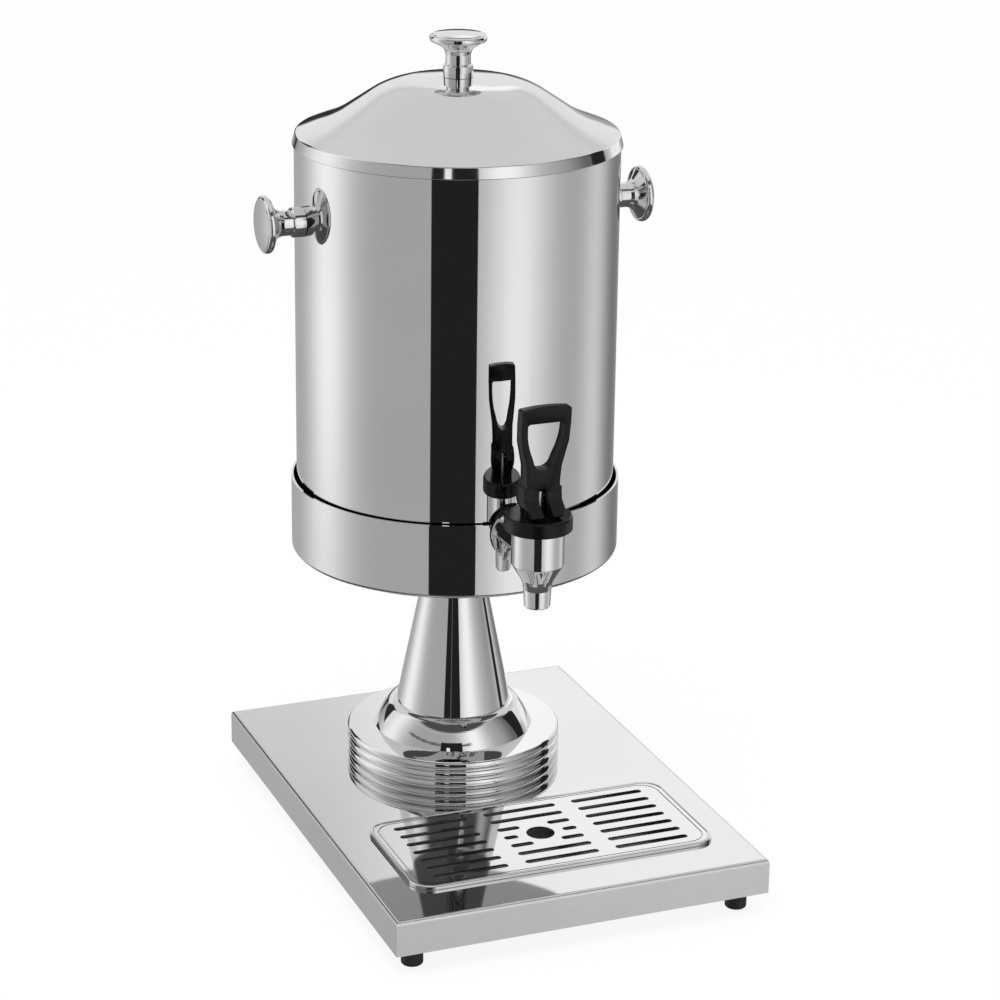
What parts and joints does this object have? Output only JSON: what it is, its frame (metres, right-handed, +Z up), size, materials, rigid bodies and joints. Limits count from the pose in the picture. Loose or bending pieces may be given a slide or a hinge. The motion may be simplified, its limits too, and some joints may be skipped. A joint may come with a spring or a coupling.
{
  "type": "milk dispenser",
  "caption": "Buffet milk dispenser: polished steel urn with lid, side knobs and a self-closing lever tap, set in a round cup on a pedestal over a base with a lift-out drip tray.",
  "frame": {"origin": "centre of the base, on the table surface", "axes": "+Z up, -Y towards the user and the tap, +X to the right seen from the front"},
  "size_m": [0.2772, 0.355, 0.5495],
  "materials": {
    "polished_steel": "mirror-polished stainless steel",
    "turned_steel": "turned and polished stainless steel",
    "tap_chrome": "chrome-plated brass",
    "base_steel": "folded stainless sheet, bright on top",
    "tray_steel": "pressed stainless sheet, polished",
    "satin_steel": "plain stainless steel",
    "black_plastic": "moulded black plastic, semi-gloss",
    "black_rubber": "black rubber",
    "silicone": "translucent white silicone",
    "blue_plastic": "blow-moulded pale blue plastic"
  },
  "bodies": {
    "stand": {"base_plate": "base_steel", "base_stiffener": "satin_steel", "rubber_feet": "black_rubber", "feet_screws": "satin_steel", "feet_nuts": "satin_steel", "plinth_ring": "polished_steel", "pedestal_foot": "polished_steel", "pedestal_cone": "polished_steel", "collar_cup": "polished_steel", "cup_stiffener": "satin_steel", "tie_bolt": "satin_steel", "tie_washer": "satin_steel", "tie_nut": "satin_steel", "cooling_pack": "blue_plastic"},
    "pan": {"drip_pan": "tray_steel"},
    "grille": {"drip_grille": "tray_steel"},
    "urn": {"urn_body": "polished_steel", "urn_floor": "satin_steel", "handle_left": "turned_steel", "handle_right": "turned_steel", "handle_screws": "satin_steel", "handle_washers": "satin_steel", "tap_body": "tap_chrome", "tap_flange": "tap_chrome", "tap_gasket": "black_rubber", "inner_gasket": "black_rubber", "shank_washer": "satin_steel", "shank_nut": "satin_steel", "tap_bonnet": "black_plastic", "bonnet_seal": "silicone", "valve_spring": "satin_steel"},
    "valve": {"valve_stem": "satin_steel", "seat_cup": "silicone", "lever_pin": "satin_steel"},
    "lever": {"tap_lever": "black_plastic"},
    "lid": {"lid_shell": "polished_steel", "lid_knob": "turned_steel", "lid_screw": "satin_steel", "lid_washer": "satin_steel"}
  },
  "joints": [
    {"name": "urn_lift", "type": "slide", "parent": "stand", "child": "urn", "axis": [0, 0, 1], "range_m": [0, 0.08]},
    {"name": "lid_lift", "type": "slide", "parent": "urn", "child": "lid", "axis": [0, 0, 1], "range_m": [0, 0.08]},
    {"name": "pan_lift", "type": "slide", "parent": "stand", "child": "pan", "axis": [0, 0, 1], "range_m": [0, 0.05]},
    {"name": "grille_lift", "type": "slide", "parent": "pan", "child": "grille", "axis": [0, 0, 1], "range_m": [0, 0.03]},
    {"name": "valve_lift", "type": "slide", "parent": "urn", "child": "valve", "axis": [0, 0, 1], "range_m": [0, 0.005], "stiffness_N_per_m": 600, "springref_m": -0.01, "deforming": ["valve_spring"]},
    {"name": "lever_pull", "type": "hinge", "parent": "valve", "child": "lever", "pos_m": [0, -0.0855, 0.276], "axis": [1, 0, 0], "range_deg": [0, 33]}
  ],
  "couplings": [
    {"joint": "lever_pull", "follows": "valve_lift", "rad_per_m": 111.11}
  ]
}
